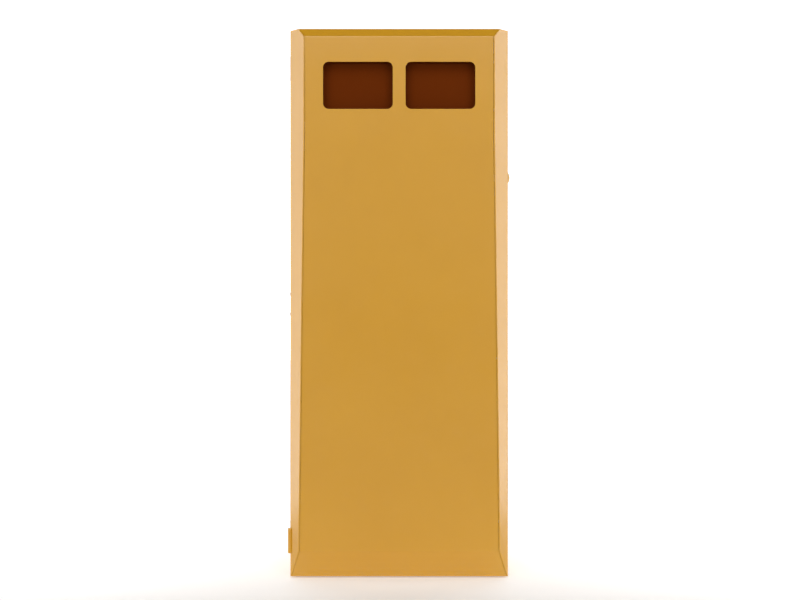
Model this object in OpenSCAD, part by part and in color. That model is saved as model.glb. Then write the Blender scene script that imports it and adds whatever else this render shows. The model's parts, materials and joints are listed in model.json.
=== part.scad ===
// Street mailbox: a sheet-steel column with a full-height front door.
// +X is to the right, -Y is the front and z = 0 is the ground.

/* [Cabinet] */
// Overall width of the column
body_w = 500; // [400:1:620]
// Overall height of the column
body_h = 1255; // [1000:1:1500]
// Overall depth, from the head of the door to the back panel
body_d = 420; // [340:1:520]
// Thickness of the folded steel sheet
sheet = 2; // [1.5:0.1:3]
// Width of the flanges round the door opening
jamb_w = 25; // [22:1:32]
// Thickness of the base plate
base_t = 3; // [2:0.5:6]
// Radius of the anchor holes in the base
anchor_r = 7; // [5:0.5:9]
// Anchor hole spacing across the base
anchor_x = 360; // [240:1:380]
// Anchor hole spacing along the base
anchor_y = 230; // [160:1:250]

/* [Door] */
// How far the head stands in front of the corners
head_out = 33; // [28:1:40]
// How far the top edge and the top of the toe stand out
edge_out = 20; // [12:1:26]
// Height of the sloping brow
brow_h = 20; // [12:1:30]
// Distance from the top down to the crease
crease_down = 242; // [220:1:280]
// Height of the undercut toe
toe_h = 65; // [50:1:80]
// Depth of the door's side returns
return_d = 50; // [46:1:60]
// Width of the flange that faces the cabinet
flange_w = 15; // [14:1:20]
// Gap under the door
floor_gap = 4; // [3:0.5:8]
// Gap between the door and the cabinet
seam_gap = 2; // [1.5:0.1:4]
// Hairline gap between the front sheet and its side cheeks
reveal = 0.8; // [0.4:0.1:0.9]
// Depth of the ribs inside the door
rib_d = 20; // [12:1:24]

/* [Apertures] */
// Width of a posting aperture
slot_w = 158; // [120:1:160]
// Height of a posting aperture
slot_h = 107; // [60:1:115]
// Corner radius of a posting aperture
slot_r = 13; // [6:1:20]
// Distance between the two aperture centres
slot_pitch = 187; // [184:1:200]
// Distance from the top down to the aperture centres
slot_down = 131; // [125:1:150]
// Depth of the collar behind an aperture
collar_d = 24; // [16:1:30]
// Radius of the flap hinge pins
flap_pin_r = 2.5; // [2:0.1:3]
// Radius of the curl round a flap pin
curl_r = 4.5; // [4:0.1:5.5]

/* [Hinges] */
// Radius of a hinge barrel
barrel_r = 4.5; // [4.2:0.1:6]
// Length of a whole hinge
hinge_h = 56; // [44:1:80]
// Radius of a hinge pin
hinge_pin_r = 2.5; // [2:0.1:2.8]
// Distance from the top down to the upper hinge
hinge_down = 104; // [90:1:160]
// Height of the underside of the lower hinge
hinge_up = 66; // [60:1:120]
// How far the hinge axis lies outside the cabinet wall
hinge_out = 0.7; // [0.5:0.1:1.2]

/* [Lock] */
// Height of the lock
lock_z = 920; // [700:1:950]
// Distance of the lock behind the corner edge
lock_back = 27; // [24:1:30]
// Radius of the lock cover
cover_r = 14; // [13:0.5:18]
// Height of the domed lock cover
cover_h = 6; // [4.5:0.1:8]
// Radius of the lock plug
plug_r = 6.5; // [5:0.1:7]
// Radius of the driver that moves the rods
driver_r = 8; // [7:0.1:9]
// Radius of a locking rod
rod_r = 4; // [3:0.1:5]

/* [Fittings] */
// Height of the security bolt
dog_z = 628; // [500:1:680]
// Spacing of the security bolt's screws
dog_pitch = 46; // [40:1:60]
// Radius of the security bolt
dog_r = 4; // [3:0.1:4.5]
// Radius of a button head
head_r = 5.25; // [4.5:0.05:6]
// Radius of the corner buffer
buffer_r = 4.9; // [4.5:0.1:5.5]
// Length of the corner buffer
buffer_h = 57.5; // [40:0.5:80]

/* [Crate] */
// Width of the crate
crate_w = 380; // [300:1:400]
// Depth of the crate
crate_d = 240; // [200:1:250]
// Height of the crate
crate_h = 400; // [300:1:500]
// Height of the crate rails
rail_z = 60; // [50:1:100]
// Radius of the bail wire
bail_r = 3; // [2:0.1:4]

/* [Clearances] */
// Radial clearance of a turning fit
fit = 0.08; // [0.02:0.01:0.1]
// Clearance between parts that pass each other
gap = 0.3; // [0.2:0.05:0.5]

/* [Hidden] */
$fn = 48;
eps = 0.01;
side_x = body_w / 2;
back_y = body_d / 2;
front_y = -body_d / 2;
corner_y = front_y + head_out;
seam_y = corner_y + return_d;
door_back = seam_y - seam_gap / 2;
body_front = seam_y + seam_gap / 2;
jamb_front = body_front + 2;
inner_x = side_x - sheet;
crease_z = body_h - crease_down;
slot_z = body_h - slot_down;
collar_gap = 1;
collar_back = front_y + sheet + collar_d;
flap_pin_y = collar_back + 1 + curl_r;
flap_pin_z = slot_z + slot_h / 2 + collar_gap + sheet + curl_r + 1.5;
flap_half = slot_w / 2 + 6;
ear_t = 3;
flap_bottom = slot_z - slot_h / 2 - 4;
hinge_x = -side_x - hinge_out;
hinge_zs = [hinge_up, body_h - hinge_down];
washer_t = 1;
knuckle_h = (hinge_h - washer_t) / 2;
leaf_t = 3;
leaf_l = 30;
lock_y = corner_y + lock_back;
case_t = 26;
driver_x = inner_x - case_t - 10;
rod_dy = driver_r + gap + rod_r;
keeper_t = 3;
keeper_zs = [45, body_h - 40];
rod_end_gap = 2.5;
case_half = 40;
lower_guides = [keeper_zs[0] + 75, lock_z / 2 + 40];
upper_guides = [(lock_z + case_half + keeper_zs[1] - 26) / 2, keeper_zs[1] - 30];
guide_w = rod_r + 3;
dog_x = hinge_x + 17;
dog_y = corner_y + 20;
crate_y = 45;
crate_top = rail_z + crate_h;
bail_z = crate_top - 20;
bail_x = crate_w / 2 + bail_r + 2;
bail_bar_y = crate_d / 2 + bail_r + 0.5;
bail_len = 150;
bail_drop = sqrt(bail_len * bail_len - bail_bar_y * bail_bar_y);
buffer_z = 57;
rivet_up = 10.5;
anchor_mid = 45;
paint = [0.78, 0.57, 0.2];

// Side outline of the door: y forward is negative
function side_outline(i, back) = [
    [back, floor_gap + i], [corner_y + i, floor_gap + i],
    [corner_y - edge_out + i, toe_h], [front_y + i, crease_z],
    [front_y + i, body_h - brow_h], [corner_y - edge_out + i, body_h - i], [back, body_h - i]];

// Plan outline of the door, with cheeks at 45 degrees
function half_plan(i, back) = [
    [side_x - i, back], [side_x - i, corner_y + i * tan(22.5)],
    [side_x - 60 - i * sqrt(2), corner_y - 60]];
function plan_outline(i, back) = concat(half_plan(i, back),
    [for (k = [2:-1:0]) [-half_plan(i, back)[k][0], half_plan(i, back)[k][1]]]);

module side_prism(i, back) {
    translate([-side_x - 20, 0, 0]) rotate([90, 0, 90])
        linear_extrude(body_w + 40) polygon(side_outline(i, back));
}
module plan_prism(i, back) {
    translate([0, 0, -10]) linear_extrude(body_h + 20) polygon(plan_outline(i, back));
}
module block(x0, x1, y0, y1, z0, z1) {
    translate([x0, y0, z0]) cube([x1 - x0, y1 - y0, z1 - z0]);
}
module rod_x(x0, x1, y, z, r) {
    translate([x0, y, z]) rotate([0, 90, 0]) cylinder(h = x1 - x0, r = r);
}
module rod_y(x, y0, y1, z, r) {
    translate([x, y0, z]) rotate([-90, 0, 0]) cylinder(h = y1 - y0, r = r);
}
module rod_z(x, y, z0, z1, r) {
    translate([x, y, z0]) cylinder(h = z1 - z0, r = r);
}
// Rounded rectangle prism along Y, grown by g all round
module slot_prism(x, y0, y1, g) {
    w = slot_w / 2 + g;
    h = slot_h / 2 + g;
    r = slot_r + g;
    block(x - w + r, x + w - r, y0, y1, slot_z - h, slot_z + h);
    block(x - w, x + w, y0, y1, slot_z - h + r, slot_z + h - r);
    for (sx = [-1, 1], sz = [-1, 1])
        rod_y(x + sx * (w - r), y0, y1, slot_z + sz * (h - r), r);
}
// Room round every hinge, cut from the sheets beside it
module hinge_pockets() {
    for (z = hinge_zs) {
        rod_z(hinge_x, seam_y, z - 1, z + hinge_h + 1, barrel_r + 1);
        block(hinge_x, -inner_x + leaf_t + gap, seam_y - barrel_r, seam_y + leaf_l + gap,
              z - 1, z + hinge_h + 1);
    }
}

module door_front() {
    low = floor_gap + flange_w;
    color(paint) difference() {
        intersection() {
            difference() {
                side_prism(0, door_back);
                side_prism(sheet, door_back - sheet);
                block(-side_x, side_x, door_back - sheet - 1, door_back + 1, low, body_h - flange_w);
            }
            plan_prism(sheet + reveal, door_back + 1);
        }
        for (s = [-1, 1]) slot_prism(s * slot_pitch / 2, front_y - 1, front_y + sheet + 1, 0);
    }
}
module door_cheek() {
    difference() {
        intersection() {
            side_prism(0, door_back);
            plan_prism(0, door_back);
            block(0, side_x + 1, front_y - 1, seam_y, 0, body_h + 1);
        }
        plan_prism(sheet, door_back - sheet);
        block(-1, inner_x - flange_w, door_back - sheet - 1, door_back + 1, 0, body_h + 1);
        block(-1, inner_x, door_back - sheet - 1, door_back + 1, 0, floor_gap + flange_w + 1);
        block(-1, inner_x, door_back - sheet - 1, door_back + 1, body_h - flange_w - 1, body_h + 1);
    }
}
module door_cheek_left() {
    color(paint) difference() {
        mirror([1, 0, 0]) door_cheek();
        for (z = hinge_zs) {
            rod_z(hinge_x, seam_y, z - 1, z + hinge_h + 1, barrel_r + 1);
            block(-inner_x - eps, -inner_x + leaf_t + gap, door_back - sheet - 1, seam_y,
                  z - 1, z + hinge_h + 1);
        }
        for (s = [-1, 1]) rod_x(-side_x - 1, -inner_x + 1, dog_y, dog_z + s * dog_pitch / 2, 3.1);
        rod_y(dog_x, door_back - sheet - 1, door_back + 1, dog_z, dog_r + gap);
    }
}
module door_cheek_right() {
    color(paint) difference() {
        door_cheek();
        rod_x(inner_x - 1, side_x + 1, lock_y, lock_z, plug_r + gap);
        rod_x(inner_x - 1, side_x + 1, lock_y, lock_z + rivet_up, 1.5 + fit);
    }
}
module door_ribs() {
    color(paint) for (z = [180, 400, 800])
        difference() {
            intersection() {
                side_prism(sheet, door_back - sheet - 1);
                plan_prism(sheet, door_back - sheet - 1);
                block(-side_x, side_x, front_y, seam_y, z, z + 3);
            }
            intersection() {
                side_prism(sheet + rib_d, seam_y + 10);
                plan_prism(sheet + rib_d, seam_y + 10);
            }
        }
}
module rain_collar(s) {
    x = s * slot_pitch / 2;
    y0 = front_y + sheet;
    outer = collar_gap + sheet;
    color("saddlebrown") difference() {
        union() {
            slot_prism(x, y0, collar_back, outer);
            block(x - flap_half - 1 - ear_t, x + flap_half + 1 + ear_t, y0, y0 + sheet,
                slot_z - slot_h / 2 - 8, flap_pin_z + 8);
            for (k = [-1, 1]) {
                ear = x + k * (flap_half + 0.5 + ear_t / 2);
                block(ear - ear_t / 2, ear + ear_t / 2, y0, flap_pin_y + 6, flap_pin_z - 8, flap_pin_z + 8);
            }
        }
        slot_prism(x, y0 - 1, collar_back + 1, collar_gap);
        rod_x(x - flap_half - 10, x + flap_half + 10, flap_pin_y, flap_pin_z, flap_pin_r + 0.05);
    }
}
module rain_collar_left() { rain_collar(-1); }
module rain_collar_right() { rain_collar(1); }
module flap_pins() {
    reach = flap_half + 0.5 + ear_t;
    color("silver") for (s = [-1, 1]) {
        x = s * slot_pitch / 2;
        rod_x(x - reach - 1.2, x + reach + 1.2, flap_pin_y, flap_pin_z, flap_pin_r);
        for (k = [-1, 1])
            rod_x(x + k * (reach + 0.7) - 0.5, x + k * (reach + 0.7) + 0.5, flap_pin_y, flap_pin_z, 4);
    }
}
module flap(s) {
    x = s * slot_pitch / 2;
    color("saddlebrown") difference() {
        union() {
            rod_x(x - flap_half, x + flap_half, flap_pin_y, flap_pin_z, curl_r);
            block(x - flap_half, x + flap_half, flap_pin_y - curl_r, flap_pin_y - curl_r + sheet,
                  flap_bottom, flap_pin_z);
        }
        rod_x(x - flap_half - 1, x + flap_half + 1, flap_pin_y, flap_pin_z, flap_pin_r + fit);
    }
}
module flap_left() { flap(-1); }
module flap_right() { flap(1); }

module door_hinge_leaves() {
    color("gray") for (z = hinge_zs) {
        z0 = z + knuckle_h + washer_t;
        difference() {
            union() {
                rod_z(hinge_x, seam_y, z0, z + hinge_h, barrel_r);
                block(-inner_x, -inner_x + leaf_t, seam_y - leaf_l, seam_y, z0, z + hinge_h);
            }
            rod_z(hinge_x, seam_y, z0 - 1, z + hinge_h + 1, hinge_pin_r + fit);
        }
    }
}
module body_hinge_leaves() {
    color("gray") for (z = hinge_zs)
        difference() {
            union() {
                rod_z(hinge_x, seam_y, z, z + knuckle_h, barrel_r);
                block(-inner_x, -inner_x + leaf_t, seam_y, seam_y + leaf_l, z, z + knuckle_h);
            }
            rod_z(hinge_x, seam_y, z - 1, z + knuckle_h + 1, hinge_pin_r + 0.05);
        }
}
module hinge_pins() {
    color("silver") for (z = hinge_zs) rod_z(hinge_x, seam_y, z, z + hinge_h - 2, hinge_pin_r);
}
module hinge_washers() {
    color("gold") for (z = hinge_zs) difference() {
        rod_z(hinge_x, seam_y, z + knuckle_h, z + knuckle_h + washer_t - fit, barrel_r);
        rod_z(hinge_x, seam_y, z, z + hinge_h, hinge_pin_r + 0.05);
    }
}
module corner_buffer() {
    color(paint) difference() {
        translate([-side_x - 0.5, corner_y, buffer_z]) rotate_extrude()
            polygon([[0, 0], [buffer_r - 1.5, 0], [buffer_r, 1.5],
                [buffer_r, buffer_h - 1.5], [buffer_r - 1.5, buffer_h], [0, buffer_h]]);
        plan_prism(0, seam_y);
    }
}
module security_bolt() {
    color("silver") difference() {
        union() {
            block(-inner_x, -inner_x + 4, dog_y - 8, dog_y + 8,
                  dog_z - dog_pitch / 2 - 9, dog_z + dog_pitch / 2 + 9);
            block(-inner_x, dog_x + 6, dog_y - 8, dog_y + 8, dog_z - 8, dog_z + 8);
            rod_y(dog_x, dog_y, seam_y + 9, dog_z, dog_r);
        }
        for (s = [-1, 1]) rod_x(-side_x, -inner_x + 5, dog_y, dog_z + s * dog_pitch / 2, 3.05);
    }
}
module security_bolt_screws() {
    color("gray") for (s = [-1, 1]) translate([-side_x, dog_y, dog_z + s * dog_pitch / 2]) rotate([0, -90, 0])
        rotate_extrude() polygon([[0, -sheet - 5], [3, -sheet - 5], [3, 0], [head_r, 0],
            [head_r, 0.8], [head_r - 1, 2.3], [head_r - 2.6, 3], [0, 3]]);
}

module lock_case() {
    color("dimgray") difference() {
        block(inner_x - case_t, inner_x, lock_y - 20, lock_y + 18, lock_z - case_half, lock_z + case_half);
        rod_x(inner_x - case_t - 1, inner_x + 1, lock_y, lock_z, plug_r + fit);
        rod_x(inner_x - 6, inner_x + 1, lock_y, lock_z + rivet_up, 1.55);
    }
}
module lock_plug() {
    color("silver") difference() {
        union() {
            rod_x(driver_x - 2, side_x, lock_y, lock_z, plug_r);
            rod_x(driver_x - 4, driver_x + 8, lock_y, lock_z, driver_r);
        }
        block(side_x - 5, side_x + 1, lock_y - 0.7, lock_y + 0.7, lock_z - 4, lock_z + 4);
    }
}
module lock_cover() {
    dome = (cover_r * cover_r + cover_h * cover_h) / (2 * cover_h);
    sweep = asin(cover_r / dome);
    steps = 8;
    arc = [for (k = [0:steps - 1]) let (a = sweep * (1 - k / steps))
        [dome * sin(a), dome * cos(a) - dome + cover_h]];
    x0 = side_x + gap;
    color(paint) difference() {
        translate([x0, lock_y, lock_z]) rotate([0, 90, 0]) rotate_extrude()
            polygon(concat([[0, 0]], arc, [[0, cover_h]]));
        rod_x(x0 - 1, x0 + 9, lock_y, lock_z + rivet_up, 1.5 + fit);
        rod_x(x0 + 2, x0 + 9, lock_y, lock_z + rivet_up, 3.3);
    }
}
module cover_rivet() {
    color("silver") {
        rod_x(inner_x - 5, side_x + gap + 2.3, lock_y, lock_z + rivet_up, 1.5);
        rod_x(side_x + gap + 2.2, side_x + gap + 3.2, lock_y, lock_z + rivet_up, 3);
    }
}
module upper_rod() {
    color("silver") rod_z(driver_x, lock_y - rod_dy, lock_z - 14, keeper_zs[1] - rod_end_gap, rod_r);
}
module lower_rod() {
    color("silver") rod_z(driver_x, lock_y + rod_dy, keeper_zs[0] + keeper_t + rod_end_gap, lock_z + 14, rod_r);
}
module rod_guides() {
    color("gray") for (s = [-1, 1], z = s < 0 ? lower_guides : upper_guides)
        difference() {
            y = lock_y - s * rod_dy;
            block(driver_x - rod_r - 4, inner_x, y - guide_w, y + guide_w, z, z + 4);
            rod_z(driver_x, y, z - 1, z + 5, rod_r + fit);
        }
}

module wall() { block(inner_x, side_x, body_front, back_y - sheet, 0, body_h - sheet); }
module left_wall() {
    color(paint) difference() {
        mirror([1, 0, 0]) wall();
        for (z = hinge_zs) rod_z(hinge_x, seam_y, z - 1, z + hinge_h + 1, barrel_r + 1);
    }
}
module right_wall() { color(paint) wall(); }
module back_panel() { color(paint) block(-side_x, side_x, back_y - sheet, back_y, 0, body_h - sheet); }
module roof() { color(paint) block(-side_x, side_x, body_front, back_y, body_h - sheet, body_h); }
module base_plate() {
    color("dimgray") difference() {
        block(-inner_x, inner_x, jamb_front, back_y - sheet, 0, base_t);
        for (sx = [-1, 1], sy = [-1, 1])
            rod_z(sx * anchor_x / 2, anchor_mid + sy * anchor_y / 2, -1, base_t + 1, anchor_r);
    }
}
module jamb() {
    block(inner_x - jamb_w, inner_x, jamb_front, jamb_front + sheet, base_t, body_h - sheet);
    block(inner_x - jamb_w, inner_x - jamb_w + sheet, jamb_front, jamb_front + 14, base_t, body_h - sheet);
}
module jamb_left() {
    color(paint) difference() {
        mirror([1, 0, 0]) jamb();
        hinge_pockets();
        rod_y(dog_x + 0.5, jamb_front - 1, jamb_front + 20, dog_z, dog_r + 3);
    }
}
module jamb_right() { color(paint) jamb(); }
module cross_flange(z0, z1, zr) {
    x = inner_x - jamb_w;
    color(paint) {
        block(-x, x, jamb_front, jamb_front + sheet, z0, z1);
        block(-x, x, jamb_front, jamb_front + 14, zr, zr + sheet);
    }
}
module header() { cross_flange(body_h - sheet - jamb_w, body_h - sheet, body_h - sheet - jamb_w); }
module sill() { cross_flange(base_t, base_t + jamb_w, base_t + jamb_w - sheet); }
module door_gasket() {
    y0 = door_back + gap;
    out_x = inner_x - 1;
    low = floor_gap + 5;
    high = body_h - 6;
    color("black") difference() {
        block(-out_x, out_x, y0, jamb_front, low, high);
        block(-out_x + 5, out_x - 5, y0 - 1, jamb_front + 1, low + 5, high - 5);
        hinge_pockets();
    }
}
module keeper(y, z, end) {
    x = driver_x;
    color("gray") difference() {
        union() {
            block(x - 14, x + 12, y - 9, jamb_front, z, z + keeper_t);
            block(x - 14, x + 12, jamb_front - 3, jamb_front, min(z, end), max(z + keeper_t, end));
        }
        rod_z(x, y, z - 1, z + keeper_t + 1, rod_r + 1);
    }
}
module keeper_upper() { keeper(lock_y - rod_dy, keeper_zs[1], body_h - 14); }
module keeper_lower() { keeper(lock_y + rod_dy, keeper_zs[0], base_t + 18); }

module letter_chute() {
    top = slot_z - 10;
    low = crease_z - 5;
    color("silver") translate([-inner_x, 0, 0]) rotate([90, 0, 90]) linear_extrude(2 * inner_x)
        polygon([[back_y - sheet, top], [back_y - sheet, top + 3], [30, low + 3], [30, low]]);
}
module rail() {
    inside = crate_w / 2 - 20;
    block(inside, inner_x, crate_y - crate_d / 2 - 20, crate_y + crate_d / 2 + 20, rail_z - 3, rail_z);
    block(inner_x - 3, inner_x, crate_y - crate_d / 2 - 20, crate_y + crate_d / 2 + 20, rail_z - 28, rail_z);
}
module crate_rail_left() { color("gray") mirror([1, 0, 0]) rail(); }
module crate_rail_right() { color("gray") rail(); }
module crate() {
    hw = crate_w / 2;
    color("silver") difference() {
        block(-hw, hw, crate_y - crate_d / 2, crate_y + crate_d / 2, rail_z, crate_top);
        block(-hw + 2, hw - 2, crate_y - crate_d / 2 + 2, crate_y + crate_d / 2 - 2, rail_z + 2, crate_top + 1);
        for (s = [-1, 1]) rod_x(s * hw - 3, s * hw + 3, crate_y, bail_z, bail_r - 0.4 + fit);
    }
}
module crate_handle() {
    angle = atan2(bail_bar_y, bail_drop);
    bar_r = bail_r - 0.4;
    color("dimgray") {
        for (s = [-1, 1]) {
            translate([s * bail_x, crate_y, bail_z]) rotate([180 - angle, 0, 0])
                translate([0, 0, -bail_r]) cylinder(h = bail_len + 2 * bail_r, r = bail_r);
            rod_x(s > 0 ? crate_w / 2 - 4 : -bail_x - 1, s > 0 ? bail_x + 1 : -crate_w / 2 + 4,
                  crate_y, bail_z, bar_r);
        }
        rod_x(-bail_x - 1, bail_x + 1, crate_y - bail_bar_y, bail_z - bail_drop, bar_r);
    }
}
module back_rivets() {
    rows = 5;
    color("silver") for (s = [-1, 1], k = [0:rows - 1])
        translate([s * (side_x - 12), back_y, 60 + k * (body_h - 120) / (rows - 1)]) rotate([-90, 0, 0])
            rotate_extrude() polygon([[0, 0], [4, 0], [3, 1.2], [0, 1.6]]);
}

door_front();
door_cheek_left();
door_cheek_right();
door_ribs();
rain_collar_left();
rain_collar_right();
flap_pins();
flap_left();
flap_right();
door_hinge_leaves();
corner_buffer();
security_bolt();
security_bolt_screws();
lock_case();
lock_plug();
lock_cover();
cover_rivet();
upper_rod();
lower_rod();
rod_guides();
left_wall();
right_wall();
back_panel();
roof();
base_plate();
jamb_left();
jamb_right();
header();
sill();
door_gasket();
body_hinge_leaves();
hinge_pins();
hinge_washers();
keeper_upper();
keeper_lower();
letter_chute();
crate_rail_left();
crate_rail_right();
crate();
crate_handle();
back_rivets();
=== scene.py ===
import json
import math

import bpy
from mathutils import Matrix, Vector


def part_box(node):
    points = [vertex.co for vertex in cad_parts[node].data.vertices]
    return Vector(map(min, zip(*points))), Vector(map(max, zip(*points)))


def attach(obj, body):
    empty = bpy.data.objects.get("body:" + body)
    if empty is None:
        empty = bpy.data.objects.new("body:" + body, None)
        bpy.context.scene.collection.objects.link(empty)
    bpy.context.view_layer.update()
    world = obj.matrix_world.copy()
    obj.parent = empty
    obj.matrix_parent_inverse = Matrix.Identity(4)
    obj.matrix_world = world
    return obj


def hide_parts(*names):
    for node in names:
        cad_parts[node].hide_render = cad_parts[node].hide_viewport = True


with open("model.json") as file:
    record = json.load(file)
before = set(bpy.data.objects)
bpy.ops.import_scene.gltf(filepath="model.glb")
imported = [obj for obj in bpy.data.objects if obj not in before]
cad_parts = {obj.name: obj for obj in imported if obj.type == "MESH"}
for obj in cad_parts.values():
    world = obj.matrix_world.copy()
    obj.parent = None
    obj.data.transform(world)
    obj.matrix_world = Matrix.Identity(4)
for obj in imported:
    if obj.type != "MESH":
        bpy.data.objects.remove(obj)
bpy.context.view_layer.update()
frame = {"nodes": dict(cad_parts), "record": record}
nodes = frame["nodes"]
mm = 0.001
scene = bpy.context.scene


def deselectAll():
    if bpy.context.object and bpy.context.object.mode != "OBJECT":
        bpy.ops.object.mode_set(mode="OBJECT")
    bpy.ops.object.select_all(action="DESELECT")


def makeActive(piece):
    deselectAll()
    piece.select_set(True)
    bpy.context.view_layer.objects.active = piece


def applyModifier(piece, name, kind, **values):
    makeActive(piece)
    modifier = piece.modifiers.new(name, kind)
    for key, value in values.items():
        setattr(modifier, key, value)
    bpy.ops.object.modifier_apply(modifier=name)


def applyPlace(piece):
    makeActive(piece)
    bpy.ops.object.transform_apply(location=True, rotation=True, scale=True)


def fixNormals(piece):
    makeActive(piece)
    bpy.ops.object.mode_set(mode="EDIT")
    bpy.ops.mesh.select_all(action="SELECT")
    bpy.ops.mesh.remove_doubles(threshold=0.00001)
    bpy.ops.mesh.normals_make_consistent(inside=False)
    bpy.ops.object.mode_set(mode="OBJECT")


def softenEdges(piece, width, segments=3, angle=28):
    applyModifier(piece, "edges", "BEVEL", width=width, segments=segments,
                  limit_method="ANGLE", angle_limit=math.radians(angle), harden_normals=False)
    makeActive(piece)
    bpy.ops.object.shade_smooth_by_angle(angle=math.radians(32))


def dress(piece, body, material, slotName, *cadNodes):
    piece.data.materials.clear()
    piece.data.materials.append(material)
    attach(piece, body)
    if cadNodes:
        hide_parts(*cadNodes)


def softCopy(node, body, material, slotName, width):
    # the same shape as the frame's node, with its cut edges eased
    piece = nodes[node].copy()
    piece.data = nodes[node].data.copy()
    piece.parent = None
    piece.name = node + "_eased"
    scene.collection.objects.link(piece)
    makeActive(piece)
    bpy.ops.object.mode_set(mode="EDIT")
    bpy.ops.mesh.select_all(action="SELECT")
    bpy.ops.mesh.remove_doubles(threshold=0.00001)
    bpy.ops.mesh.dissolve_limited(angle_limit=math.radians(0.5))
    bpy.ops.object.mode_set(mode="OBJECT")
    softenEdges(piece, width, 2, 35)
    keepFlat(piece)
    dress(piece, body, material, slotName, node)
    return piece


def newMaterial(name):
    material = bpy.data.materials.new(name)
    material.use_nodes = True
    tree = material.node_tree
    return material, tree, tree.nodes["Principled BSDF"]


def noiseOf(tree, scale, detail, roughness=0.5, stretch=(1, 1, 1)):
    place = tree.nodes.new("ShaderNodeTexCoord")
    mapping = tree.nodes.new("ShaderNodeMapping")
    mapping.inputs["Scale"].default_value = stretch
    noise = tree.nodes.new("ShaderNodeTexNoise")
    noise.inputs["Scale"].default_value = scale
    noise.inputs["Detail"].default_value = detail
    noise.inputs["Roughness"].default_value = roughness
    tree.links.new(place.outputs["Object"], mapping.inputs["Vector"])
    tree.links.new(mapping.outputs["Vector"], noise.inputs["Vector"])
    return noise.outputs["Fac"]


def ranged(tree, value, low, high, outLow, outHigh):
    node = tree.nodes.new("ShaderNodeMapRange")
    node.inputs["From Min"].default_value = low
    node.inputs["From Max"].default_value = high
    node.inputs["To Min"].default_value = outLow
    node.inputs["To Max"].default_value = outHigh
    tree.links.new(value, node.inputs["Value"])
    return node.outputs["Result"]


def mixed(tree, factor, first, second):
    node = tree.nodes.new("ShaderNodeMix")
    node.data_type = "RGBA"
    tree.links.new(factor, node.inputs[0])
    for socket, colour in ((node.inputs[6], first), (node.inputs[7], second)):
        if isinstance(colour, tuple):
            socket.default_value = (*colour, 1)
        else:
            tree.links.new(colour, socket)
    return node.outputs[2]


def product(tree, first, second):
    node = tree.nodes.new("ShaderNodeMath")
    node.operation = "MULTIPLY"
    tree.links.new(first, node.inputs[0])
    tree.links.new(second, node.inputs[1])
    return node.outputs[0]


def bumpFrom(tree, shader, height, strength, distance):
    node = tree.nodes.new("ShaderNodeBump")
    node.inputs["Strength"].default_value = strength
    node.inputs["Distance"].default_value = distance
    tree.links.new(height, node.inputs["Height"])
    tree.links.new(node.outputs["Normal"], shader.inputs["Normal"])


def powderCoat(name, light, deep, dusty, gloss, runs, dirtTop, sheen=0.9):
    material, tree, shader = newMaterial(name)
    clouds = ranged(tree, noiseOf(tree, 5, 4), 0.35, 0.65, 0, 1)
    colour = mixed(tree, clouds, deep, light)
    place = tree.nodes.new("ShaderNodeTexCoord")
    split = tree.nodes.new("ShaderNodeSeparateXYZ")
    tree.links.new(place.outputs["Object"], split.inputs["Vector"])
    low = ranged(tree, split.outputs["Z"], 0, dirtTop, 0.35, 0)      # street dust thins out with height
    speckle = ranged(tree, noiseOf(tree, 180, 6, 0.7), 0.35, 0.7, 0, 1)
    colour = mixed(tree, product(tree, low, speckle), colour, dusty)
    streaks = ranged(tree, noiseOf(tree, 22, 3, 0.6, (1, 1, 0.05)), 0.6, 0.85, 0, runs)
    colour = mixed(tree, streaks, colour, dusty)
    tree.links.new(colour, shader.inputs["Base Color"])
    rough = ranged(tree, noiseOf(tree, 14, 5, 0.6), 0.3, 0.7, gloss - 0.015, gloss + 0.02)
    tree.links.new(rough, shader.inputs["Roughness"])
    shader.inputs["Specular IOR Level"].default_value = sheen
    bumpFrom(tree, shader, noiseOf(tree, 620, 3, 0.55), 0.06, 0.0004)
    return material


def plated(name, light, dark, gloss, metal=1.0, grain=(1, 1, 8)):
    material, tree, shader = newMaterial(name)
    spangle = ranged(tree, noiseOf(tree, 45, 5, 0.6), 0.35, 0.68, 0, 1)
    tree.links.new(mixed(tree, spangle, dark, light), shader.inputs["Base Color"])
    rough = ranged(tree, noiseOf(tree, 160, 3, 0.6, grain), 0.3, 0.7, gloss - 0.06, gloss + 0.12)
    tree.links.new(rough, shader.inputs["Roughness"])
    shader.inputs["Metallic"].default_value = metal
    bumpFrom(tree, shader, noiseOf(tree, 420, 2, 0.5, grain), 0.08, 0.0004)
    return material


def softRubber(name):
    material, tree, shader = newMaterial(name)
    bloom = ranged(tree, noiseOf(tree, 70, 5), 0.4, 0.7, 0, 1)
    colour = mixed(tree, bloom, (0.012, 0.012, 0.012), (0.035, 0.034, 0.032))
    tree.links.new(colour, shader.inputs["Base Color"])
    tree.links.new(ranged(tree, noiseOf(tree, 90, 3), 0.3, 0.7, 0.62, 0.82), shader.inputs["Roughness"])
    bumpFrom(tree, shader, noiseOf(tree, 900, 2), 0.2, 0.0003)
    return material


mustard = powderCoat("mustard_coat", light=(0.60, 0.292, 0.005), deep=(0.585, 0.282, 0.004),
                     dusty=(0.52, 0.30, 0.05), gloss=0.24, runs=0.012, dirtTop=0.05)
# painted shade: this dark brown stands in for the shade deep inside the apertures; the flaps and rain
# collars get it in place of the mustard paint
paintedApertureShade = powderCoat("aperture_painted_shade", light=(0.125, 0.021, 0.0002), deep=(0.117, 0.019, 0.0002),
                   dusty=(0.17, 0.04, 0.006), gloss=0.7, runs=0.12, dirtTop=0.07, sheen=0.04)
darkSteel = powderCoat("dark_steel", light=(0.055, 0.05, 0.045), deep=(0.035, 0.032, 0.03),
                       dusty=(0.16, 0.13, 0.1), gloss=0.5, runs=0.12, dirtTop=0.1)
zinc = plated("zinc_plate", (0.66, 0.66, 0.65), (0.46, 0.47, 0.48), 0.34)
brass = plated("worn_brass", (0.72, 0.52, 0.22), (0.5, 0.34, 0.12), 0.3)
rubber = softRubber("seal_rubber")
print("materials ready")


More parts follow.
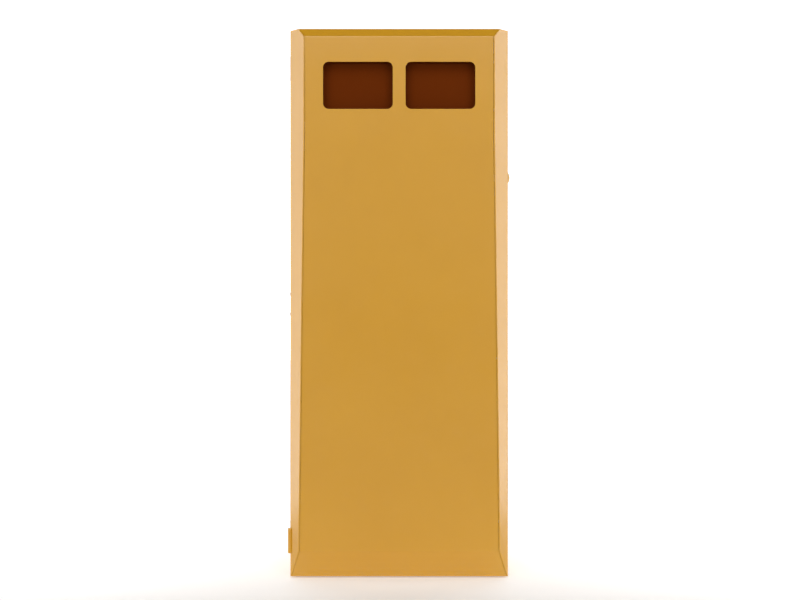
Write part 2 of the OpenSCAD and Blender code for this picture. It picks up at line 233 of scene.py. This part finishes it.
doorLow, doorHigh = (Vector(corner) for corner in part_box("door_front"))
cheekLow, cheekHigh = (Vector(corner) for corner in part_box("door_cheek_right"))
doorShape = {
    "sheet": 2 * mm, "headOut": 33 * mm, "edgeOut": 20 * mm, "brow": 20 * mm,
    "creaseDown": 242 * mm, "toe": 65 * mm, "reveal": 0.45 * mm, "flange": 15 * mm,
    "foldRadius": 3.5 * mm, "hemRadius": 2.6 * mm, "creaseRadius": 1.6 * mm, "returnRadius": 1 * mm,
    "lip": 0.5 * mm,
}
cornerY = doorLow.y + doorShape["headOut"]
halfWidth = cheekHigh.x
topZ = cheekHigh.z
bottomZ = cheekLow.z
sideLine = [          # (forward of the corner line, height), from the ground up
    (0, bottomZ), (doorShape["edgeOut"], doorShape["toe"]),
    (doorShape["headOut"], topZ - doorShape["creaseDown"]),
    (doorShape["headOut"], topZ - doorShape["brow"]), (doorShape["edgeOut"], topZ),
]


def startEdge(name, first, second):
    # a plane brought down to one edge between two points, ready to be extruded
    deselectAll()
    bpy.ops.mesh.primitive_plane_add(size=1, location=first)
    piece = bpy.context.object
    piece.name = name
    applyPlace(piece)
    bpy.ops.object.mode_set(mode="EDIT")
    bpy.ops.mesh.select_mode(type="VERT")       # a lone vertex can't be held in edge mode
    bpy.ops.mesh.select_all(action="SELECT")
    bpy.ops.mesh.merge(type="CENTER")
    middle = Vector(second) - Vector(first)
    bpy.ops.mesh.extrude_region_move(TRANSFORM_OT_translate={"value": middle})
    bpy.ops.mesh.select_all(action="SELECT")
    return piece


def extrudeBy(step):
    bpy.ops.mesh.extrude_region_move(TRANSFORM_OT_translate={"value": step})


def frontSheet():
    s = doorShape
    grip = (s["sheet"] + s["reveal"]) * math.sqrt(2)
    flat = halfWidth - s["sheet"] - s["reveal"]
    back = doorHigh.y

    def halfAt(out):
        return min(flat, halfWidth - grip - out)

    stations = [(back, bottomZ + s["flange"], flat), (back, bottomZ, flat)]
    knee = halfWidth - grip - flat          # where the cheek starts to take width from the sheet
    stations.append((cornerY - knee, bottomZ, flat))
    stations += [(cornerY - out, z, halfAt(out)) for out, z in sideLine]
    stations.append((cornerY - knee, topZ, flat))
    stations += [(back, topZ, flat), (back, topZ - s["flange"], flat)]
    y, z, half = stations[0]
    piece = startEdge("door_front_sheet", (-half, y, z), (half, y, z))
    for nextY, nextZ, nextHalf in stations[1:]:
        extrudeBy((0, nextY - y, nextZ - z))
        bpy.ops.transform.resize(value=(nextHalf / half, 1, 1), center_override=(0, nextY, nextZ))
        y, z, half = nextY, nextZ, nextHalf
    bpy.ops.object.mode_set(mode="OBJECT")
    return piece


def foldEdges(piece, test, radius, segments):
    makeActive(piece)
    bpy.ops.object.mode_set(mode="EDIT")
    bpy.ops.mesh.select_mode(type="EDGE")
    bpy.ops.mesh.select_all(action="DESELECT")
    bpy.ops.object.mode_set(mode="OBJECT")
    for edge in piece.data.edges:
        a, b = (piece.data.vertices[i].co for i in edge.vertices)
        edge.select = test(a, b)
    bpy.ops.object.mode_set(mode="EDIT")
    bpy.ops.mesh.bevel(offset=radius, segments=segments, affect="EDGES")
    bpy.ops.object.mode_set(mode="OBJECT")


def faceFront(piece, outward):
    # turn the sheet over if its outer face looks the wrong way
    total = sum(face.area * face.normal.dot(outward) for face in piece.data.polygons)
    if total < 0:
        makeActive(piece)
        bpy.ops.object.mode_set(mode="EDIT")
        bpy.ops.mesh.select_all(action="SELECT")
        bpy.ops.mesh.flip_normals()
        bpy.ops.object.mode_set(mode="OBJECT")


def keepInside(piece, point, normal):
    # cut the piece on a plane and close the cut, dropping what lies along the normal
    makeActive(piece)
    bpy.ops.object.mode_set(mode="EDIT")
    bpy.ops.mesh.select_all(action="SELECT")
    bpy.ops.mesh.bisect(plane_co=point, plane_no=normal, clear_outer=True, use_fill=True)
    bpy.ops.object.mode_set(mode="OBJECT")


def roundedBar(name, centre, width, depth, height, radius):
    # a block along Y whose four long edges are rounded
    deselectAll()
    bpy.ops.mesh.primitive_cube_add(size=1, location=centre, scale=(width, depth, height))
    piece = bpy.context.object
    piece.name = name
    applyPlace(piece)
    foldEdges(piece, lambda a, b: abs((a - b).y) > depth * 0.9, radius, 10)
    return piece


def cutWith(piece, cutter):
    applyModifier(piece, "cut", "BOOLEAN", operation="DIFFERENCE", object=cutter, solver="EXACT")
    bpy.data.objects.remove(cutter)


def keepFlat(piece):
    # flat faces keep flat shading beside their rounded folds
    applyModifier(piece, "flats", "WEIGHTED_NORMAL", mode="FACE_AREA", weight=80, keep_sharp=True)


def isLevel(a, b):
    return abs((a - b).x) > 0.3


def isFaceCrease(a, b):
    return isLevel(a, b) and bottomZ + 1 * mm < a.z < topZ - 1 * mm and a.y < cornerY


def isReturnFold(a, b):
    return isLevel(a, b) and abs(a.y - doorHigh.y) < 1e-5 and a.z in (bottomZ, topZ)


aperture = {
    "width": 158 * mm, "height": 107 * mm, "corner": 13 * mm, "pitch": 187 * mm, "down": 131 * mm,
    "cutDepth": 30 * mm,
}
front = frontSheet()
foldEdges(front, isFaceCrease, doorShape["creaseRadius"], 3)
foldEdges(front, isReturnFold, doorShape["returnRadius"], 3)
faceFront(front, Vector((0, -1, 0)))
applyModifier(front, "wall", "SOLIDIFY", thickness=doorShape["sheet"], offset=-1, use_even_offset=True)
for side in (-1, 1):
    hole = roundedBar("aperture_cut", (side * aperture["pitch"] / 2, doorLow.y, topZ - aperture["down"]),
                      aperture["width"], aperture["cutDepth"], aperture["height"], aperture["corner"])
    cutWith(front, hole)
fixNormals(front)
softenEdges(front, doorShape["lip"], 3, 40)
keepFlat(front)
dress(front, "door", mustard, "paint", "door_front")
print("front sheet made")


hinge = {
    "up": 66 * mm, "down": 104 * mm, "length": 56 * mm, "barrel": 4.5 * mm, "out": 0.7 * mm,
    "room": 1 * mm, "leaf": 3.3 * mm,
}
lockHole = {"radius": 6.8 * mm, "depth": 10 * mm}
boltHole = {"inward": 16.3 * mm, "radius": 4.4 * mm, "depth": 8 * mm}
hingeZs = (hinge["up"], topZ - hinge["down"])
backY = doorHigh.y
seamY = backY + 1 * mm


def boxCutter(low, high):
    deselectAll()
    low, high = Vector(low), Vector(high)
    bpy.ops.mesh.primitive_cube_add(size=1, location=(low + high) / 2, scale=high - low)
    applyPlace(bpy.context.object)
    return bpy.context.object


def keepProfile(piece):
    # keep what the piece shares with a block of the door's side outline
    spare = 10 * mm
    block = boxCutter((-halfWidth - spare, cornerY - 50 * mm, bottomZ),
                      (halfWidth + spare, backY + spare, topZ))
    for (outA, zA), (outB, zB) in zip(sideLine, sideLine[1:]):
        keepInside(block, (0, cornerY - outA, zA), (0, zA - zB, outA - outB))
    fixNormals(block)
    applyModifier(piece, "outline", "BOOLEAN", operation="INTERSECT", object=block, solver="EXACT")
    bpy.data.objects.remove(block)


def roundCutter(centre, radius, depth, turn=(0, 0, 0)):
    deselectAll()
    bpy.ops.mesh.primitive_cylinder_add(
        vertices=48, radius=radius, depth=depth, location=centre, rotation=turn)
    applyPlace(bpy.context.object)
    return bpy.context.object


def isUpright(a, b):
    return abs((a - b).z) > 1 and abs(abs(a.x) - halfWidth) < 1e-5


def cheek(side, name):
    s = doorShape
    spare = 10 * mm                              # cut back to height by keepProfile
    startX = side * (halfWidth - s["sheet"] - s["flange"])
    piece = startEdge(name, (startX, backY, bottomZ - spare), (startX, backY, topZ + spare))
    extrudeBy((side * (s["flange"] + s["sheet"]), 0, 0))
    extrudeBy((0, cornerY - backY, 0))
    extrudeBy((-side * 45 * mm, -45 * mm, 0))
    bpy.ops.object.mode_set(mode="OBJECT")
    for foldY, radius, segments in ((cornerY, s["foldRadius"], 6), (backY, s["hemRadius"], 5)):
        foldEdges(piece, lambda a, b: isUpright(a, b) and abs(a.y - foldY) < 1e-5, radius, segments)
    faceFront(piece, Vector((side, -1, 0)))
    applyModifier(piece, "wall", "SOLIDIFY", thickness=s["sheet"], offset=-1, use_even_offset=True)
    fixNormals(piece)
    keepProfile(piece)
    inner = halfWidth - s["sheet"]
    end = s["flange"] + 1 * mm
    for zA, zB in ((bottomZ - spare, bottomZ + end), (topZ - end, topZ + spare)):
        cutWith(piece, boxCutter((min(side * inner, 0), backY - s["sheet"] - 1 * mm, zA),
                                 (max(side * inner, 0), backY + 1 * mm, zB)))
    return piece


def finishCheek(piece, node):
    fixNormals(piece)
    softenEdges(piece, 0.3 * mm, 2, 40)
    keepFlat(piece)
    dress(piece, "door", mustard, "paint", node)


lockLow, lockHigh = (Vector(corner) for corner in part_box("lock_cover"))
lockAt = Vector((0, (lockLow.y + lockHigh.y) / 2, (lockLow.z + lockHigh.z) / 2))
screwLow, screwHigh = (Vector(corner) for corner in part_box("security_bolt_screws"))
screwHead = {
    "radius": 5.25 * mm, "height": 3 * mm, "rim": 0.5 * mm, "socket": 2.3 * mm, "deep": 1.8 * mm,
    "hole": 3.1 * mm, "shank": 3 * mm, "tip": 2.6 * mm, "length": 7 * mm, "chamfer": 0.4 * mm,
}
screwY = (screwLow.y + screwHigh.y) / 2
screwZs = (screwLow.z + screwHead["radius"], screwHigh.z - screwHead["radius"])
acrossX = (0, math.pi / 2, 0)

rightCheek = cheek(1, "door_cheek_right_fold")
cutWith(rightCheek, roundCutter((halfWidth, lockAt.y, lockAt.z),
                                lockHole["radius"], lockHole["depth"], acrossX))
finishCheek(rightCheek, "door_cheek_right")

leftCheek = cheek(-1, "door_cheek_left_fold")
leafX = -halfWidth + doorShape["sheet"]
for z in hingeZs:
    cutWith(leftCheek, roundCutter((-halfWidth - hinge["out"], seamY, z + hinge["length"] / 2),
                                   hinge["barrel"] + hinge["room"], hinge["length"] + 2 * hinge["room"]))
    cutWith(leftCheek, boxCutter((leafX, backY - doorShape["sheet"] - hinge["room"], z - hinge["room"]),
                                 (leafX + hinge["leaf"], seamY, z + hinge["length"] + hinge["room"])))
for z in screwZs:
    cutWith(leftCheek, roundCutter((-halfWidth, screwY, z), screwHead["hole"], 10 * mm, acrossX))
dogLow, dogHigh = (Vector(corner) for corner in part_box("security_bolt"))
cutWith(leftCheek, roundCutter((-halfWidth + boltHole["inward"], backY, (dogLow.z + dogHigh.z) / 2),
                               boltHole["radius"], boltHole["depth"], (math.pi / 2, 0, 0)))
finishCheek(leftCheek, "door_cheek_left")
print("cheeks made")


def turned(name, outline, centre, axis, steps=64):
    # spins an outline of (radius, along) points about the axis through centre
    axis = Vector(axis)
    side = Vector((0, 1, 0)) if abs(axis.y) < 0.5 else Vector((1, 0, 0))
    centre = Vector(centre)
    spots = [centre + side * radius + axis * along for radius, along in outline]
    piece = startEdge(name, spots[0], spots[1])
    bpy.ops.mesh.select_all(action="DESELECT")
    bpy.ops.object.mode_set(mode="OBJECT")
    end = max(piece.data.vertices, key=lambda v: (v.co - spots[0]).length)
    for vertex in piece.data.vertices:
        vertex.select = vertex == end
    bpy.ops.object.mode_set(mode="EDIT")
    bpy.ops.mesh.select_mode(type="VERT")
    for a, b in zip(spots[1:], spots[2:]):
        extrudeBy(b - a)
    bpy.ops.mesh.select_all(action="SELECT")
    bpy.ops.mesh.spin(steps=steps, angle=math.tau, center=centre, axis=axis)
    bpy.ops.object.mode_set(mode="OBJECT")
    fixNormals(piece)
    return piece


def arcOutline(radius, height, steps):
    ball = (radius ** 2 + height ** 2) / (2 * height)
    sweep = math.asin(radius / ball)
    angles = [sweep * (1 - k / steps) for k in range(steps + 1)]
    return [(ball * math.sin(a), ball * math.cos(a) - ball + height) for a in angles]


coverShape = {
    "rise": 10.5 * mm, "pinHole": 1.58 * mm, "seat": 3.3 * mm, "seatDepth": 2 * mm, "rim": 0.9 * mm,
    "chamfer": 0.25 * mm,
}
coverRadius = (lockHigh.z - lockLow.z) / 2
coverHeight = lockHigh.x - lockLow.x
dome = [(coverRadius - coverShape["chamfer"], 0), (coverRadius, coverShape["chamfer"]),
        (coverRadius, coverShape["rim"])]
dome += [(r, coverShape["rim"] + z) for r, z in
         arcOutline(coverRadius, coverHeight - coverShape["rim"], 14)[1:-1]]
cover = turned("lock_cover_dome", [(0, 0)] + dome + [(0, coverHeight)],
               (lockLow.x, lockAt.y, lockAt.z), (1, 0, 0))
pinAt = Vector((lockLow.x, lockAt.y, lockAt.z + coverShape["rise"]))
seatAt = pinAt + Vector((coverShape["seatDepth"] + 10 * mm, 0, 0))
cutWith(cover, roundCutter(pinAt, coverShape["pinHole"], 30 * mm, acrossX))
cutWith(cover, roundCutter(seatAt, coverShape["seat"], 20 * mm, acrossX))
softenEdges(cover, 0.15 * mm, 2, 45)
dress(cover, "lock_cover", mustard, "paint", "lock_cover")

heads = []
for z in screwZs:
    h = screwHead
    profile = [(0, -h["length"]), (h["tip"], -h["length"]), (h["shank"], h["chamfer"] - h["length"]),
               (h["shank"], 0), (h["radius"], 0), (h["radius"], h["rim"])]
    profile += [(r, h["rim"] + up) for r, up in arcOutline(h["radius"], h["height"] - h["rim"], 8)[1:-1]]
    screw = turned("button_screw", profile + [(0, h["height"])], (-halfWidth, screwY, z), (-1, 0, 0), 48)
    deselectAll()
    bpy.ops.mesh.primitive_cylinder_add(
        vertices=6, radius=screwHead["socket"], depth=2 * screwHead["deep"], rotation=acrossX,
        location=(-halfWidth - screwHead["height"], screwY, z))
    socket = bpy.context.object
    applyPlace(socket)
    cutWith(screw, socket)
    heads.append(screw)
deselectAll()
for screw in heads:
    screw.select_set(True)
bpy.context.view_layer.objects.active = heads[0]
bpy.ops.object.join()
softenEdges(heads[0], 0.12 * mm, 2, 45)
dress(heads[0], "door", zinc, "zinc", "security_bolt_screws")

bufferLow, bufferHigh = (Vector(corner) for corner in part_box("corner_buffer"))
bufferShape = {"radius": 4.9 * mm, "out": 0.5 * mm, "nose": 1.6 * mm}
tall = bufferHigh.z - bufferLow.z
nose = bufferShape["nose"]
ends = [(bufferShape["radius"] - nose * (1 - math.sin(a)), nose * (1 - math.cos(a)))
        for a in (k * math.pi / 12 for k in range(7))]
outline = [(0, 0)] + ends + [(r, tall - z) for r, z in reversed(ends)] + [(0, tall)]
buffer = turned("corner_buffer_bar", outline,
                (-halfWidth - bufferShape["out"], cornerY, bufferLow.z), (0, 0, 1))
corner = boxCutter((-halfWidth, cornerY, bufferLow.z - 0.01), (0, cornerY + 0.03, bufferHigh.z + 0.01))
makeActive(corner)
bpy.ops.object.mode_set(mode="EDIT")
bpy.ops.mesh.select_mode(type="FACE")
bpy.ops.mesh.select_all(action="DESELECT")
bpy.ops.object.mode_set(mode="OBJECT")
for face in corner.data.polygons:
    face.select = face.normal.y < -0.9
bpy.ops.object.mode_set(mode="EDIT")
extrudeBy((0, -0.03, 0))
bpy.ops.object.mode_set(mode="OBJECT")
keepInside(corner, (-halfWidth, cornerY, 0), (-1, -1, 0))
fixNormals(corner)
cutWith(buffer, corner)
softenEdges(buffer, 0.2 * mm, 2, 45)
dress(buffer, "door", mustard, "paint", "corner_buffer")
print("small fittings made")


easedNodes = {
    "paint": {"material": mustard, "width": 0.6 * mm,
              "nodes": ["left_wall", "right_wall", "back_panel", "roof"]},
    # the flaps and rain collars take the painted shade brown
    "brown_paint": {"material": paintedApertureShade, "width": 0.4 * mm,
                    "nodes": ["flap_left", "flap_right", "rain_collar_left", "rain_collar_right"]},
}
bodyOf = {node: body for body, names in frame["record"]["behaviour"]["bodies"].items() for node in names}
for slotName, finish in easedNodes.items():
    for node in finish["nodes"]:
        softCopy(node, bodyOf[node], finish["material"], slotName, finish["width"])
print("eased pieces made")

slotMaterial = {
    # brown_paint is the painted shade brown of the flaps and rain collars
    "paint": mustard, "brown_paint": paintedApertureShade, "dark_steel": darkSteel,
    "zinc": zinc, "rubber": rubber, "brass": brass,
}
for row in frame["record"]["subparts"]:
    cad = nodes[row["node"]]
    for place in cad.material_slots:
        place.material = slotMaterial[row["material_slot"]]
print("frame nodes finished")


def areaLight(name, place, aim, size, power):
    deselectAll()
    bpy.ops.object.light_add(type="AREA", location=place)
    lamp = bpy.context.object
    lamp.name = name
    lamp.data.shape = "RECTANGLE"
    lamp.data.size, lamp.data.size_y = size
    lamp.data.energy = power
    lamp.rotation_euler = (Vector(aim) - Vector(place)).to_track_quat("-Z", "Y").to_euler()


studio = {
    "cameraDistance": 2.5496, "cameraHeight": 0.6377, "cameraSide": 0.0019, "lens": 50,
    "floor": 40, "backdrop": 30, "backdropAt": (0, 9, 10), "backdropGlow": 0.9, "floorGlow": 0.5,
    "skyLow": 0.6, "skyHigh": 0.12,
}
lights = {
    "left_strip": {"place": (-1.05, -0.12, 0.75), "aim": (0, -0.12, 0.75), "size": (0.2, 1.7), "power": 3.0},
    "right_strip": {"place": (1.05, -0.12, 0.75), "aim": (0, -0.12, 0.75), "size": (0.2, 1.7), "power": 3.3},
    "top_softbox": {"place": (0, -3.4, 3.3), "aim": (0, 0, 0.6), "size": (3.6, 2.2), "power": 58},
    "left_softbox": {"place": (-2.3, -4.4, 1), "aim": (0, 0, 0.8), "size": (1.4, 1.5), "power": 36},
    "right_softbox": {"place": (2.3, -4.4, 1), "aim": (0, 0, 0.8), "size": (1.4, 1.5), "power": 39},
}
scene.view_settings.view_transform = "Standard"
deselectAll()
bpy.ops.mesh.primitive_plane_add(size=studio["floor"], location=(0, 0, 0))
floor = bpy.context.object
floor.name = "studio_floor"
floorPaint, floorTree, floorShader = newMaterial("pale_floor")
floorPlace = floorTree.nodes.new("ShaderNodeTexCoord")
floorSplit = floorTree.nodes.new("ShaderNodeSeparateXYZ")
floorTree.links.new(floorPlace.outputs["Object"], floorSplit.inputs["Vector"])
# paler and glowing behind the mailbox, so that the floor meets the backdrop without a line
near = ranged(floorTree, floorSplit.outputs["Y"], -1.5, -0.45, 0, 1)
glow = ranged(floorTree, floorSplit.outputs["Y"], -0.5, 0.1, 0, studio["floorGlow"])
grey = mixed(floorTree, near, (0.6, 0.6, 0.6), (0.9, 0.9, 0.9))
floorTree.links.new(grey, floorShader.inputs["Base Color"])
floorTree.links.new(glow, floorShader.inputs["Emission Strength"])
floorShader.inputs["Roughness"].default_value = 0.9
floorShader.inputs["Emission Color"].default_value = (1, 1, 1, 1)
floor.data.materials.append(floorPaint)

world = scene.world or bpy.data.worlds.new("studio_world")
scene.world = world
world.use_nodes = True
skyTree = world.node_tree
skyPlace = skyTree.nodes.new("ShaderNodeTexCoord")
skySplit = skyTree.nodes.new("ShaderNodeSeparateXYZ")
skyTree.links.new(skyPlace.outputs["Generated"], skySplit.inputs["Vector"])
sky = ranged(skyTree, skySplit.outputs["Z"], 0.05, 0.9, studio["skyLow"], studio["skyHigh"])
skyTree.links.new(sky, skyTree.nodes["Background"].inputs["Strength"])
skyTree.nodes["Background"].inputs["Color"].default_value = (1, 1, 1, 1)
for name, lamp in lights.items():
    areaLight(name, **lamp)

deselectAll()
bpy.ops.mesh.primitive_plane_add(
    size=studio["backdrop"], location=studio["backdropAt"], rotation=(math.pi / 2, 0, 0))
backdrop = bpy.context.object
backdrop.name = "white_backdrop"
backdropPaint, backdropTree, backdropShader = newMaterial("white_backdrop")
backdropShader.inputs["Base Color"].default_value = (1, 1, 1, 1)
backdropShader.inputs["Emission Color"].default_value = (1, 1, 1, 1)
backdropShader.inputs["Emission Strength"].default_value = studio["backdropGlow"]
backdrop.data.materials.append(backdropPaint)

deselectAll()
bpy.ops.object.camera_add(
    location=(studio["cameraSide"], cornerY - studio["cameraDistance"], studio["cameraHeight"]),
    rotation=(math.pi / 2, 0, 0))
bpy.context.object.data.lens = studio["lens"]
bpy.context.object.data.clip_end = 100
scene.camera = bpy.context.object
print("studio ready")
